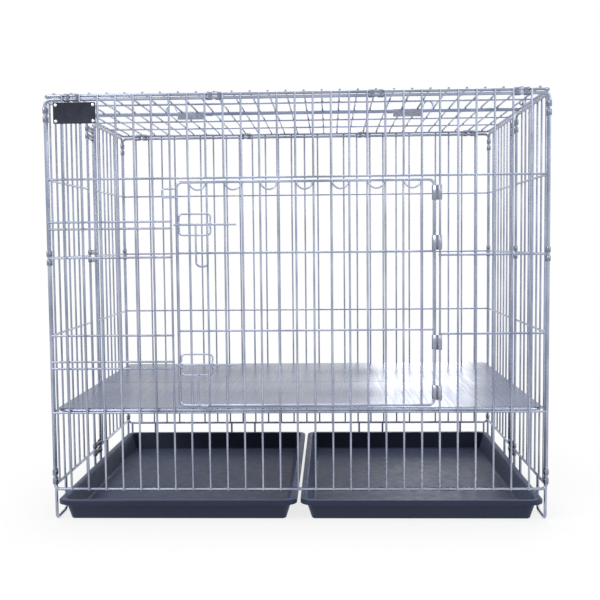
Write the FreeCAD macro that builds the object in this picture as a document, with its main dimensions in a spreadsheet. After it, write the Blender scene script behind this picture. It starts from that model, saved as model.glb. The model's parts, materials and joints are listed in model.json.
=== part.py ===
import FreeCAD, Part
import math
import os
import re

import Sketcher

# A wire dog crate: welded wire panels clipped together with sheet bands, a front door with two
# slide bolts, a two-piece hinged top with its own bolts and side hooks, a steel floor plate on a
# wire floor frame, and two plastic trays that slide out under the front panel.
# Frame: +Z up, front towards -Y, origin under the middle of the whole crate. Millimetres.

SIZES = {
    # The cage as a whole.
    "panel_width": 894.0,  # between the centres of the corner posts
    "panel_depth": 594.0,  # between the planes of the front and back panels
    "foot_height": 59.0,  # floor to the centre of the front and back bottom rails
    "bay_height": 141.0,  # between two levels of cross wire
    "bays": 5,
    "columns": 28,  # gaps between upright wires across the width
    "side_columns": 8,  # the same, across one half of a side
    "plane_shift": 1.7,  # moves the panels back, because the fittings stand out in front
    # Wires.
    "frame_wire": 5.5,
    "rail_wire": 5.0,  # bottom rails of the sides
    "foot_wire": 5.0,  # feet of the back panel
    "mesh_wire": 3.8,
    "door_wire": 5.0,
    "rod_wire": 4.0,
    "fitting_wire": 3.0,
    "handle_wire": 3.5,
    "weld_bite": 0.6,  # how deep two wires of one panel melt into each other
    "weld_gap": 0.1,  # between a fitting and the wire that it is tacked to
    "play": 0.3,  # between pieces that pass each other
    "tip_rise": 8.5,  # upright wires above the centre of the top rail
    "frame_bend": 9.0,
    # Sheet bands that hold two rails side by side.
    "pair_spacing": 7.0,
    "pair_lean": 1.0,  # the top's rail stands this far behind the rail under it
    "band_wall": 1.0,
    "band_length": 10.0,
    "band_gap": 6.0,
    "fold_spacing": 46.0,  # between the two posts where a side folds
    "corner_top_drop": 26.0,  # top rail to the middle of the top corner bands
    # Side panels.
    "side_rise": 7.0,  # their bottom rail above the front one
    "foot_width": 58.0,
    "rear_foot_edge": 9.0,  # corner post to the outer leg of the outer rear foot
    "rear_foot_step": 250.0,
    # Door.
    "door_first": 7,  # the upright wires that the door hangs between
    "door_last": 22,
    "door_gap": 9.5,
    "door_clear": 1.0,  # over the floor plate
    "door_drop": 7.0,
    "door_cross_rise": 7.0,
    "door_bend": 10.0,
    "scallop_radius": 14.5,
    "hinge_height": 26.0,
    "stop_reach": 14.5,
    "stop_height": 15.0,
    "stop_drop": 12.5,
    # Door bolts.
    "high_latch_rise": 481.0,  # above the front panel's bottom rail
    "low_latch_rise": 228.0,
    "keeper_spacing": 12.4,
    "bracket_width": 56.6,
    "bracket_height": 38.0,
    "bracket_bend": 6.0,
    "bow_height": 18.0,
    "rod_length": 113.0,
    "bolt_travel": 27.0,
    "tip_clearance": 2.0,
    "handle_width": 21.0,
    "handle_drop": 75.0,
    "handle_bend": 8.0,
    # Top.
    "front_share": 2,  # fifths of the depth that the front half of the top covers
    "keeper_gap": 0.7,  # front half's rail to the keeper
    "sleeve_gap": 1.7,  # sleeve to the rear half's rail
    "latch_column": 6.5,  # from the middle to the first short wire that the sleeve straddles
    "keeper_clear": 1.9,
    "sleeve_tail": 5.6,
    "sleeve_skirt": 9.0,
    "top_rod_draw": 14.0,
    "ring_radius": 10.0,
    "eye_radius": 6.0,
    "hook_out": 16.0,
    "hook_up": 8.0,
    "hook_reach": 2.3,  # under the side's top rail
    "hook_tip": 6.0,
    # Floor.
    "floor_inset": 2.0,
    "floor_bend": 25.0,
    "plate_thickness": 1.5,
    "plate_seam": 2.0,
    "plate_margin": 1.0,
    # Trays.
    "tray_height": 39.0,
    "tray_split": 6.0,  # between the two trays
    "tray_side": 4.0,  # between a tray's edge and the centres of the side's posts
    "tray_front": 9.0,  # in front of the front panel's plane
    "tray_back": 14.0,  # in front of the back panel's plane
    "tray_lip": 9.0,
    "tray_wall": 2.5,
    "tray_corner": 22.0,
    "tray_draft": 12.0,  # how far the walls lean in from lip to floor
    "lip_skirt": 8.0,
    # Nameplate.
    "plate_width": 76.0,
    "plate_height": 37.5,
    "plate_gauge": 1.8,
    "plate_left": 17.0,
    "plate_drop": 5.5,
    "rivet_radius": 1.6,
    "rivet_inset": 4.5,
    "head_radius": 3.0,
    "head_height": 1.2,
}

# Places worked out from the sizes, each in the names of sizes or of other places.
PLACES = {
    "pitch": "panel_width / columns",
    "left_x": "-panel_width / 2",
    "right_x": "panel_width / 2",
    "front_y": "plane_shift - panel_depth / 2",
    "back_y": "plane_shift + panel_depth / 2",
    "top_z": "foot_height + bays * bay_height",
    "side_rail_z": "foot_height + side_rise",
    "wire_foot_z": "foot_height - mesh_wire / 2",
    "weld_step": "(frame_wire + mesh_wire) / 2 - weld_bite",
    "mesh_step": "mesh_wire - weld_bite",
    "front_mesh_y": "front_y - weld_step",
    "front_cross_y": "front_mesh_y + mesh_step",
    "back_mesh_y": "back_y + weld_step",
    "back_cross_y": "back_mesh_y - mesh_step",
    "band_half": "frame_wire / 2 + play + band_wall",
    "band_pair": "2 * band_length + band_gap",
    "third_z": "foot_height + 3 * bay_height",
    # door and bolts
    "door_left_x": "left_x + door_first * pitch",
    "door_right_x": "left_x + door_last * pitch",
    "door_low_x": "door_left_x + door_gap",
    "door_high_x": "door_right_x - door_gap",
    "door_low_z": "plate_z + plate_thickness + door_clear + door_wire / 2",
    "door_high_z": "top_z - bay_height - door_drop",
    "rod_y": "front_mesh_y + mesh_wire / 2 + play + rod_wire / 2",
    "door_y": "rod_y + rod_wire / 2 + play + door_wire / 2",
    "bracket_x": "door_low_x + door_wire / 2 + fitting_wire / 2 + 2 * weld_gap",
    "bracket_y": "door_y - mesh_wire / 2 - weld_gap - fitting_wire / 2",
    "bow_y": "rod_y - rod_wire / 2 - play - fitting_wire / 2",
    "rod_tip_x": "door_left_x + mesh_wire / 2 + tip_clearance",
    "handle_y": "rod_y - rod_wire / 2 - weld_gap / 2 - handle_wire / 2",
    "handle_x": "bracket_x + fitting_wire / 2 + play + handle_wire / 2 + bolt_travel",
    "stop_y": "front_mesh_y - mesh_wire / 2 - play - fitting_wire / 2",
    "high_latch_z": "foot_height + high_latch_rise",
    "low_latch_z": "foot_height + low_latch_rise",
    # top
    "lid_z": "top_z + pair_spacing",
    "lid_front_y": "front_y + pair_lean",
    "lid_back_y": "back_y - pair_lean",
    "split_y": "front_y + front_share * panel_depth / bays",
    "latch_offset": "frame_wire / 2 + keeper_gap + band_half",  # front half's rail to the bolt
    "latch_gap": "latch_offset + band_half + sleeve_gap + frame_wire / 2",  # between the rails
    "lid_mesh_z": "lid_z + weld_step",
    "lid_cross_z": "lid_mesh_z - mesh_step",
    "front_lid_edge_y": "split_y - latch_gap / 2",
    "rear_lid_edge_y": "split_y + latch_gap / 2",
    "top_rod_y": "front_lid_edge_y + latch_offset",
    "keeper_x": "(latch_column - 1) * pitch + mesh_wire / 2 + keeper_clear",
    "top_rod_x": "keeper_x + band_length + play",
    "sleeve_x": "top_rod_x + play",
    "sleeve_end": "(latch_column + 1) * pitch + mesh_wire / 2 + sleeve_tail",
    "top_ring_x": "sleeve_end + play + top_rod_draw",
    "top_rod_z": "lid_z - (band_half - band_wall - rod_wire / 2 - play)",
    "eye_z": "lid_z + frame_wire / 2 + weld_gap + handle_wire / 2 + eye_radius",
    "hook_z": "eye_z - eye_radius + handle_wire + weld_gap",
    # sides
    "side_front_y": "front_y + pair_spacing",
    "side_back_y": "back_y - pair_spacing",
    "fold_front_y": "plane_shift - fold_spacing / 2",
    "fold_back_y": "plane_shift + fold_spacing / 2",
    "side_pitch": "(fold_front_y - side_front_y) / side_columns",
    "hook_y": "side_front_y + 6 * side_pitch + mesh_wire / 2 + 2 * (play + handle_wire)",
    # floor
    "floor_x": "panel_width / 2 - frame_wire - play",
    "ledge_step": "floor_inset + weld_step - mesh_step",
    "ledge_reach": "(frame_wire + mesh_wire) / 2 + weld_gap",
    "floor_z": "foot_height + bay_height + sqrt(ledge_reach * ledge_reach - ledge_step * ledge_step)",
    "floor_front_y": "front_y + floor_inset",
    "floor_back_y": "back_y - floor_inset",
    "plate_z": "floor_z + frame_wire / 2 + weld_gap",
}

FRONT, SIDE, FLAT = "XZ_Plane", "YZ_Plane", "XY_Plane"

doc = FreeCAD.newDocument("WireDogCrate")
sheet = doc.addObject("Spreadsheet::Sheet", "Dimensions")
for row, (alias, number) in enumerate(SIZES.items(), start=1):
    sheet.set(f"A{row}", alias)
    sheet.set(f"B{row}", str(number))
    sheet.setAlias(f"B{row}", alias)
doc.recompute()

bodies = []


# Expressions


def formula(text):
    """A text in the names above, as an expression of the sheet's cells."""

    def swap(match):
        name = match.group(0)
        if name in PLACES:
            return "(" + formula(PLACES[name]) + ")"
        return "Dimensions." + name if name in SIZES else name

    return re.sub(r"[a-z][a-z_]*", swap, text)


def size(text):
    return float(sheet.evalExpression(formula(text)))


def bind(thing, name, text):
    thing.setExpression(name, formula(text))


# Sketches


def new_body(label):
    body = doc.addObject("PartDesign::Body", label)
    body.Label = label
    body.AllowCompound = True
    bodies.append(body)
    return body


def new_sketch(body, plane, x="0", y="0", z="0", turn=None):
    """A sketch on one of the body's own planes, moved to a point, and turned in its plane if asked."""
    sketch = body.newObject("Sketcher::SketchObject", body.Name + "_sketch")
    base = [item for item in body.Origin.OriginFeatures if item.Role == plane][0]
    sketch.AttachmentSupport = (base, [""])
    sketch.MapMode = "FlatFace"
    if turn:
        sketch.AttachmentOffset = FreeCAD.Placement(
            FreeCAD.Vector(), FreeCAD.Rotation(FreeCAD.Vector(0, 0, 1), size(turn))
        )
        bind(sketch, "AttachmentOffset.Rotation.Angle", turn)
    local = {
        FLAT: (x, y, z),
        FRONT: (x, z, f"-({y})"),
        SIDE: (y, z, x),
    }[plane]
    for axis, text in zip("xyz", local):
        bind(sketch, "AttachmentOffset.Base." + axis, text)
    return sketch


def constrain(sketch, kind, *places, text=None):
    """Adds a constraint, and binds its value where it has one."""
    if text is None:
        return sketch.addConstraint(Sketcher.Constraint(kind, *places))
    index = sketch.addConstraint(Sketcher.Constraint(kind, *places, size(text)))
    sketch.renameConstraint(index, f"value{index}")
    bind(sketch, f"Constraints.value{index}", text)
    return index


def fix_point(sketch, kind, geometry, end, text):
    """Fixes one coordinate of a point; a point with none lies on the axis."""
    if text == "0":
        axis = -1 if kind == "DistanceY" else -2
        constrain(sketch, "PointOnObject", geometry, end, axis)
    else:
        constrain(sketch, kind, -1, 1, geometry, end, text=text)


def draw_circle(sketch, diameter):
    """A circle round the sketch's own origin."""
    circle = sketch.addGeometry(
        Part.Circle(FreeCAD.Vector(), FreeCAD.Vector(0, 0, 1), size(diameter) / 2)
    )
    constrain(sketch, "Coincident", circle, 3, -1, 1)
    constrain(sketch, "Diameter", circle, text=diameter)


def draw_path(sketch, points, bend, closed=True):
    """Level and upright runs through the points, each corner rounded to the bend's radius."""
    corners = [FreeCAD.Vector(size(u), size(v), 0) for u, v in points]
    radius = size(bend)
    runs = len(points) if closed else len(points) - 1
    ways = []
    lines = []
    for i in range(runs):
        start, end = corners[i], corners[(i + 1) % len(points)]
        way = (end - start).normalize()
        if closed or i > 0:
            start = start + way * radius
        if closed or i < runs - 1:
            end = end - way * radius
        lines.append(sketch.addGeometry(Part.LineSegment(start, end)))
        ways.append(way)
        level = points[i][1] == points[(i + 1) % len(points)][1]
        constrain(sketch, "Horizontal" if level else "Vertical", lines[i])
        across = ("DistanceY", points[i][1]) if level else ("DistanceX", points[i][0])
        fix_point(sketch, across[0], lines[i], 1, across[1])
    if not closed:
        for line, end, point in ((0, 1, points[0]), (runs - 1, 2, points[-1])):
            level = abs(ways[line].x) > 0.5
            along = ("DistanceX", point[0]) if level else ("DistanceY", point[1])
            fix_point(sketch, along[0], lines[line], end, along[1])
    first = None
    for i in range(0 if closed else 1, runs):
        before, after = ways[i - 1], ways[i]
        left = before.cross(after).z > 0
        inward = FreeCAD.Vector(-before.y, before.x, 0) * (1 if left else -1)
        middle = corners[i] - before * radius + inward * radius
        angles = [
            math.atan2(point.y - middle.y, point.x - middle.x)
            for point in (corners[i] - before * radius, corners[i] + after * radius)
        ]
        begin, finish = angles if left else reversed(angles)
        if finish < begin:
            finish += 2 * math.pi
        circle = Part.Circle(middle, FreeCAD.Vector(0, 0, 1), radius)
        arc = sketch.addGeometry(Part.ArcOfCircle(circle, begin, finish))
        constrain(sketch, "Tangent", lines[i - 1], 2, arc, 1 if left else 2)
        constrain(sketch, "Tangent", lines[i], 1, arc, 2 if left else 1)
        if first is None:
            first = arc
            constrain(sketch, "Radius", arc, text=bend)
        else:
            constrain(sketch, "Equal", first, arc)


def draw_slot(sketch, spacing, half):
    """A round-ended slot from the sketch's origin to a point on its level axis."""
    far, radius = size(spacing), size(half)
    up = FreeCAD.Vector(0, 0, 1)
    near_circle = Part.Circle(FreeCAD.Vector(), up, radius)
    far_circle = Part.Circle(FreeCAD.Vector(far, 0, 0), up, radius)
    near = sketch.addGeometry(Part.ArcOfCircle(near_circle, math.pi / 2, 1.5 * math.pi))
    away = sketch.addGeometry(Part.ArcOfCircle(far_circle, -math.pi / 2, math.pi / 2))
    sides = []
    for height in (-radius, radius):
        ends = (FreeCAD.Vector(0, height, 0), FreeCAD.Vector(far, height, 0))
        sides.append(sketch.addGeometry(Part.LineSegment(*ends)))
    constrain(sketch, "Coincident", near, 3, -1, 1)
    constrain(sketch, "PointOnObject", away, 3, -1)
    constrain(sketch, "Tangent", sides[0], 1, near, 2)
    constrain(sketch, "Tangent", sides[0], 2, away, 1)
    constrain(sketch, "Tangent", sides[1], 1, near, 1)
    constrain(sketch, "Tangent", sides[1], 2, away, 2)
    constrain(sketch, "DistanceX", -1, 1, away, 3, text=spacing)
    constrain(sketch, "Radius", near, text=half)


# Features


def pad(body, sketch, length, draft=None):
    feature = body.newObject("PartDesign::Pad", body.Name + "_pad")
    feature.Profile = sketch
    feature.Refine = False
    bind(feature, "Length", length)
    if draft:
        bind(feature, "TaperAngle", draft)
    body.Tip = feature
    return feature


def cut(body, sketch, depth, draft=None):
    """Cuts from the sketch back against its normal, or along it where the depth asks for that."""
    feature = body.newObject("PartDesign::Pocket", body.Name + "_pocket")
    feature.Profile = sketch
    feature.Refine = False
    bind(feature, "Length", depth)
    if draft:
        bind(feature, "TaperAngle", draft)
    body.Tip = feature
    return feature


def repeat(body, feature, axis, spacing, count):
    """Repeats a feature along one of the body's axes."""
    pattern = body.newObject("PartDesign::LinearPattern", body.Name + "_pattern")
    pattern.Originals = [feature]
    pattern.Refine = False
    line = [item for item in body.Origin.OriginFeatures if item.Role == axis][0]
    pattern.Direction = (line, [""])
    pattern.Mode = "Spacing"
    bind(pattern, "Offset", spacing)
    bind(pattern, "Occurrences", count)
    body.Tip = pattern


def straight(body, axis, x, y, z, length, wire, row=None):
    """A straight round wire, repeated in a row if asked. Along Y it runs towards the front."""
    plane = {"X": SIDE, "Y": FRONT, "Z": FLAT}[axis]
    sketch = new_sketch(body, plane, x, y, z)
    draw_circle(sketch, wire)
    feature = pad(body, sketch, length)
    if row:
        repeat(body, feature, *row)


def sweep(body, section, path):
    pipe = body.newObject("PartDesign::AdditivePipe", body.Name + "_pipe")
    pipe.Profile = section
    pipe.Spine = (path, [])
    pipe.Refine = False
    body.Tip = pipe
    return pipe


def bent(body, plane, level, points, bend, wire, closed=True):
    """A wire bent in one plane, at a level along that plane's normal."""
    along = {FRONT: "y", SIDE: "x", FLAT: "z"}[plane]
    path = new_sketch(body, plane, **{along: level})
    draw_path(path, points, bend, closed)
    (u, v), (next_u, next_v) = points[0], points[1]
    level_run = v == next_v
    if closed:
        sign = "+" if size(next_u) + size(next_v) > size(u) + size(v) else "-"
        u, v = (f"{u} {sign} {bend}", v) if level_run else (u, f"{v} {sign} {bend}")
    section_plane, place = {
        (FRONT, True): (SIDE, (u, level, v)),
        (FRONT, False): (FLAT, (u, level, v)),
        (SIDE, True): (FRONT, (level, u, v)),
        (SIDE, False): (FLAT, (level, u, v)),
        (FLAT, True): (SIDE, (u, v, level)),
        (FLAT, False): (FRONT, (u, v, level)),
    }[(plane, level_run)]
    section = new_sketch(body, section_plane, *place)
    draw_circle(section, wire)
    return sweep(body, section, path)


def rectangle(low_u, low_v, high_u, high_v):
    return [(low_u, low_v), (high_u, low_v), (high_u, high_v), (low_u, high_v)]


def band(body, plane, x, y, z, spacing, half, length, turn=None):
    """A sheet band round two wires: one at the point, the other the spacing away."""
    sketch = new_sketch(body, plane, x, y, z, turn)
    draw_slot(sketch, spacing, half)
    draw_slot(sketch, spacing, f"{half} - band_wall")
    return pad(body, sketch, length)


def band_pairs(label, plane, places, spacing, turn, step_axis):
    """Pairs of bands, each pair straddling the middle of its place."""
    body = new_body(label)
    for x, y, z in places:
        one = band(body, plane, x, y, z, spacing, "band_half", "band_length", turn)
        repeat(body, one, step_axis, "band_length + band_gap", "2")
    return body


def torus(body, x, y, z, radius, wire):
    """A ring of round wire, its axis along Y."""
    ring = body.newObject("PartDesign::AdditiveTorus", body.Name + "_ring")
    base = [item for item in body.Origin.OriginFeatures if item.Role == FRONT][0]
    ring.AttachmentSupport = (base, [""])
    ring.MapMode = "FlatFace"
    bind(ring, "AttachmentOffset.Base.x", x)
    bind(ring, "AttachmentOffset.Base.y", z)
    bind(ring, "AttachmentOffset.Base.z", f"-({y})")
    bind(ring, "Radius1", radius)
    bind(ring, "Radius2", f"{wire} / 2")
    ring.Refine = False
    body.Tip = ring
    return ring


# Cage panels


def front_panel():
    body = new_body("front_panel")
    outline = rectangle("left_x", "foot_height", "right_x", "top_z")
    bent(body, FRONT, "front_y", outline, "frame_bend", "frame_wire")
    full = "top_z + tip_rise - wire_foot_z"
    for first, count in (("1", "door_first"), ("door_last", "columns - door_last")):
        x = f"left_x + {first} * pitch"
        repeats = ("X_Axis", "pitch", count)
        straight(body, "Z", x, "front_mesh_y", "wire_foot_z", full, "mesh_wire", repeats)
    between = ("X_Axis", "pitch", "door_last - door_first - 1")
    past_door = "door_left_x + pitch"
    below = "foot_height + bay_height + mesh_wire - wire_foot_z"
    above_z = "top_z - bay_height - mesh_wire"
    above = "bay_height + mesh_wire + tip_rise"
    straight(body, "Z", past_door, "front_mesh_y", "wire_foot_z", below, "mesh_wire", between)
    straight(body, "Z", past_door, "front_mesh_y", above_z, above, "mesh_wire", between)
    cross(body, "left_x", "foot_height + bay_height", "panel_width", "(bays - 2) * bay_height")
    left = "door_left_x - left_x + mesh_wire / 2"
    right = "right_x - door_right_x + mesh_wire / 2"
    cross(body, "left_x", "foot_height + 2 * bay_height", left, "bay_height")
    cross(body, "door_right_x - mesh_wire / 2", "foot_height + 2 * bay_height", right, "bay_height")
    for latch in ("high_latch_z", "low_latch_z"):
        cross(body, "left_x", f"{latch} - keeper_spacing / 2", left, "keeper_spacing")


def cross(body, x, z, length, spacing):
    """Two cross wires of the front panel."""
    straight(body, "X", x, "front_cross_y", z, length, "mesh_wire", ("Z_Axis", spacing, "2"))


def back_panel():
    body = new_body("back_panel")
    outline = rectangle("left_x", "foot_height", "right_x", "top_z")
    bent(body, FRONT, "back_y", outline, "frame_bend", "frame_wire")
    full = "top_z + tip_rise - wire_foot_z"
    uprights = ("X_Axis", "pitch", "columns - 1")
    straight(
        body, "Z", "left_x + pitch", "back_mesh_y", "wire_foot_z", full, "mesh_wire", uprights
    )
    level = "foot_height + bay_height"
    crossings = ("Z_Axis", "bay_height", "bays - 1")
    straight(body, "X", "left_x", "back_cross_y", level, "panel_width", "mesh_wire", crossings)
    both = "foot_width + rear_foot_step"
    for x in ("left_x + rear_foot_edge", f"right_x - rear_foot_edge - ({both})"):
        foot = [
            (x, "foot_height"),
            (x, "foot_wire / 2"),
            (f"{x} + foot_width", "foot_wire / 2"),
            (f"{x} + foot_width", "foot_height"),
        ]
        feature = bent(body, FRONT, "back_y", foot, "frame_bend", "foot_wire", closed=False)
        repeat(body, feature, "X_Axis", "rear_foot_step", "2")


def side_panel(label, x, low_y, high_y, outward):
    """Half of one side: a post at each end that turns under into a foot, rails, and its mesh."""
    body = new_body(label)
    ground = "frame_wire / 2"
    near_foot, far_foot = f"{low_y} + foot_width", f"{high_y} - foot_width"
    outline = [
        (near_foot, "side_rail_z"),
        (near_foot, ground),
        (low_y, ground),
        (low_y, "top_z"),
        (high_y, "top_z"),
        (high_y, ground),
        (far_foot, ground),
        (far_foot, "side_rail_z"),
    ]
    bent(body, SIDE, x, outline, "frame_bend", "frame_wire", closed=False)
    span = f"{high_y} - ({low_y})"
    straight(body, "Y", x, high_y, "side_rail_z", span, "rail_wire")
    upright_z = "side_rail_z - mesh_wire / 2"
    uprights = ("Y_Axis", "side_pitch", "side_columns - 1")
    upright_x = f"{x} {outward} weld_step"
    height = "top_z + mesh_wire / 2 - (side_rail_z - mesh_wire / 2)"
    straight(
        body, "Z", upright_x, f"{low_y} + side_pitch", upright_z, height, "mesh_wire", uprights
    )
    inward = "-" if outward == "+" else "+"
    cross_x = f"{upright_x} {inward} mesh_step"
    crossings = ("Z_Axis", "bay_height", "bays - 1")
    level = "foot_height + bay_height"
    straight(body, "Y", cross_x, high_y, level, span, "mesh_wire", crossings)


def corner_bands(label, x, post_y, turn):
    """Three pairs of bands down one corner, round the two posts that meet there."""
    half = "band_pair / 2"
    low_z = "side_rail_z + rail_wire / 2 + play"
    places = [
        (x, post_y, low_z),
        (x, post_y, f"third_z - {half}"),
        (x, post_y, f"top_z - corner_top_drop - {half}"),
    ]
    band_pairs(label, FLAT, places, "pair_spacing", turn, "Z_Axis")


def fold_bands(label, x):
    """Three pairs of wide bands where one side folds; the lowest pair straddles the bottom rail."""
    half = "band_pair / 2"
    places = [
        (x, "fold_front_y", f"side_rail_z - {half}"),
        (x, "fold_front_y", f"third_z - {half}"),
        (x, "fold_front_y", f"top_z - frame_bend - play - {half} * 2"),
    ]
    band_pairs(label, FLAT, places, "fold_spacing", "90", "Z_Axis")


# Door


def door():
    body = new_body("door")
    outline = rectangle("door_low_x", "door_low_z", "door_high_x", "door_high_z")
    bent(body, FRONT, "door_y", outline, "door_bend", "door_wire")
    uprights = ("X_Axis", "pitch", "door_last - door_first - 1")
    height = "door_high_z - door_low_z"
    past = "door_left_x + pitch"
    straight(body, "Z", past, "door_y", "door_low_z", height, "mesh_wire", uprights)
    level = "foot_height + 2 * bay_height + door_cross_rise"
    width = "door_high_x - door_low_x"
    crossings = ("Z_Axis", "bay_height", "2")
    behind = "door_y + mesh_step"
    straight(body, "X", "door_low_x", behind, level, width, "mesh_wire", crossings)


def door_scallops():
    """Half rings under the door's top rail, one in every second gap."""
    body = new_body("door_scallops")
    y = "door_y - door_wire / 2 - weld_gap - fitting_wire / 2"
    x = "door_left_x + 1.5 * pitch"
    ring = torus(body, x, y, "door_high_z", "scallop_radius", "fitting_wire")
    ring.AttachmentOffset = FreeCAD.Placement(
        ring.AttachmentOffset.Base, FreeCAD.Rotation(FreeCAD.Vector(0, 0, 1), 180)
    )
    ring.Angle3 = 180
    repeat(body, ring, "X_Axis", "2 * pitch", "(door_last - door_first - 1) / 2")


def door_hinges():
    """Four sheet bands on the door's right post, which turn on the upright wire beside it."""
    body = new_body("door_hinges")
    lean = "atan2(door_y - front_mesh_y; -door_gap)"
    reach = "sqrt(door_gap * door_gap + (door_y - front_mesh_y) * (door_y - front_mesh_y))"
    half = "door_wire / 2 + play + band_wall"
    lowest = "door_low_z + door_bend + play"
    highest = "door_high_z - door_bend - play - hinge_height"
    second = "foot_height + 2 * bay_height - mesh_wire / 2 - play - hinge_height"
    third = "third_z + door_cross_rise + mesh_wire / 2 + play"
    for z in (lowest, second, third, highest):
        band(body, FLAT, "door_right_x", "front_mesh_y", z, reach, half, "hinge_height", lean)


def door_stop():
    """A wire loop on the door that laps over the upright wire beside it, in front."""
    body = new_body("door_stop_loop")
    high_z = "door_high_z - stop_drop"
    low_z = "door_high_z - stop_drop - stop_height"
    end_x = "door_left_x - stop_reach"
    bend = "fitting_wire * 1.5"
    loop = [("door_left_x", high_z), (end_x, high_z), (end_x, low_z), ("door_left_x", low_z)]
    bent(body, FRONT, "stop_y", loop, bend, "fitting_wire", closed=False)
    back_y = "door_y - door_wire / 2 - weld_gap"
    leg = [("door_left_x", "stop_y"), ("door_low_x", "stop_y"), ("door_low_x", back_y)]
    for z in (low_z, high_z):
        bent(body, FLAT, z, leg, bend, "fitting_wire", closed=False)


def latch_bracket(label, z):
    """A wire frame tacked to the door, whose upright ends are bowed forward over the rod."""
    body = new_body(label)
    near, far = "bracket_x", "bracket_x + bracket_width"
    for sign in ("+", "-"):
        edge = f"{z} {sign} bracket_height / 2"
        end = f"{z} {sign} bow_height / 2"
        half = [(near, end), (near, edge), (far, edge), (far, end)]
        bent(body, FRONT, "bracket_y", half, "bracket_bend", "fitting_wire", closed=False)
    low, high = f"{z} - bow_height / 2", f"{z} + bow_height / 2"
    step = "fitting_wire * 1.3"
    bow = [
        ("bracket_y", high),
        ("bracket_y", f"{high} - {step}"),
        ("bow_y", f"{high} - {step}"),
        ("bow_y", f"{low} + {step}"),
        ("bracket_y", f"{low} + {step}"),
        ("bracket_y", low),
    ]
    ends = bent(body, SIDE, near, bow, "fitting_wire * 0.75", "fitting_wire", closed=False)
    repeat(body, ends, "X_Axis", "bracket_width", "2")


def bolt_rod(label, z):
    body = new_body(label)
    straight(body, "X", "rod_tip_x", "rod_y", z, "rod_length", "rod_wire")
    return body


def bolt_handle(label, z):
    """A long wire loop that hangs from the rod, in front of it."""
    body = new_body(label)
    top, low = f"{z} + weld_gap", f"{z} - handle_drop"
    near, far = "handle_x", "handle_x + handle_width"
    loop = [(near, top), (near, low), (far, low), (far, top)]
    bent(body, FRONT, "handle_y", loop, "handle_bend", "handle_wire", closed=False)


# Top


def lid(label, low_y, high_y, cross_y, cross_count):
    """One half of the top: a frame, its long wires along the width, and short ones over them."""
    body = new_body(label)
    outline = rectangle("left_x", low_y, "right_x", high_y)
    bent(body, FLAT, "lid_z", outline, "frame_bend", "frame_wire")
    start = f"{high_y} + mesh_wire / 4"
    length = f"{high_y} - ({low_y}) + mesh_wire / 2"
    shorts = ("X_Axis", "pitch", "columns")
    short_x = "left_x + pitch / 2"
    straight(body, "Y", short_x, start, "lid_mesh_z", length, "mesh_wire", shorts)
    longs = ("Y_Axis", "panel_depth / bays", cross_count)
    straight(body, "X", "left_x", cross_y, "lid_cross_z", "panel_width", "mesh_wire", longs)


def lid_bands(label, y, lean):
    """Four pairs of bands that hold one half of the top to the panel under its edge."""
    edge, inner = "1.5 * pitch", "(columns / 2 - 4.5) * pitch"
    middles = (f"left_x + {edge}", f"left_x + {inner}", f"right_x - {inner}", f"right_x - {edge}")
    places = [(f"{middle} - band_pair / 2", y, "top_z") for middle in middles]
    spacing = "sqrt(pair_spacing * pair_spacing + pair_lean * pair_lean)"
    band_pairs(label, SIDE, places, spacing, lean, "X_Axis")


def top_latch_sleeve(label, side):
    """A sheet sleeve round the front half's rail and the bolt, with a skirt down its front.

    It is notched where the short wires of the top cross the rail.
    """
    body = new_body(label)
    length = "sleeve_end - sleeve_x"
    start = "sleeve_x" if side == "+" else "0 - sleeve_end"
    spacing = "latch_offset"
    band(body, SIDE, start, "front_lid_edge_y", "lid_z", spacing, "band_half", length)
    sketch = new_sketch(body, SIDE, start)
    front = "front_lid_edge_y - band_half"
    skirt = rectangle(front, "lid_z - sleeve_skirt - band_half", f"{front} + band_wall", "lid_z")
    draw_path(sketch, skirt, "band_wall / 4")
    pad(body, sketch, length)
    top_z = "lid_z + band_half + play"
    notch = new_sketch(body, FLAT, z=top_z)
    middle = "latch_column * pitch" if side == "+" else "0 - (latch_column + 1) * pitch"
    half = "mesh_wire / 2 + play"
    back = "front_lid_edge_y + mesh_wire / 4 + play"
    outline = rectangle(f"{middle} - ({half})", f"{front} - play", f"{middle} + {half}", back)
    draw_path(notch, outline, "play")
    slot = cut(body, notch, f"{top_z} - lid_z")
    repeat(body, slot, "X_Axis", "pitch", "2")


def top_latch_keeper(label, side):
    """A short band on the rear half's rail, whose free end receives the bolt."""
    body = new_body(label)
    start = "keeper_x" if side == "+" else "0 - keeper_x - band_length"
    spacing = "latch_gap - latch_offset"
    band(body, SIDE, start, "top_rod_y", "lid_z", spacing, "band_half", "band_length")


def top_bolt(label, side):
    """A straight rod whose outer end curls up into an open finger ring."""
    body = new_body(label)
    path = new_sketch(body, FRONT, y="top_rod_y")
    start, turn = f"0 {side} top_rod_x", f"0 {side} top_ring_x"
    end = f"0 {side} (top_ring_x - ring_radius * cos(20 deg))"
    low = size("top_rod_z")
    corners = [FreeCAD.Vector(size(x), low, 0) for x in (start, turn)]
    line = path.addGeometry(Part.LineSegment(*corners))
    middle = FreeCAD.Vector(size(turn), low + size("ring_radius"), 0)
    span = (-90, 200) if side == "+" else (-20, 270)
    circle = Part.Circle(middle, FreeCAD.Vector(0, 0, 1), size("ring_radius"))
    arc = path.addGeometry(Part.ArcOfCircle(circle, *[math.radians(angle) for angle in span]))
    near, far = (1, 2) if side == "+" else (2, 1)
    constrain(path, "Horizontal", line)
    fix_point(path, "DistanceY", line, 1, "top_rod_z")
    fix_point(path, "DistanceX", line, 1, start)
    fix_point(path, "DistanceX", line, 2, turn)
    constrain(path, "Tangent", line, 2, arc, near)
    constrain(path, "Radius", arc, text="ring_radius")
    fix_point(path, "DistanceX", arc, far, end)
    section = new_sketch(body, SIDE, start, "top_rod_y", "top_rod_z")
    draw_circle(section, "rod_wire")
    sweep(body, section, path)


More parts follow.
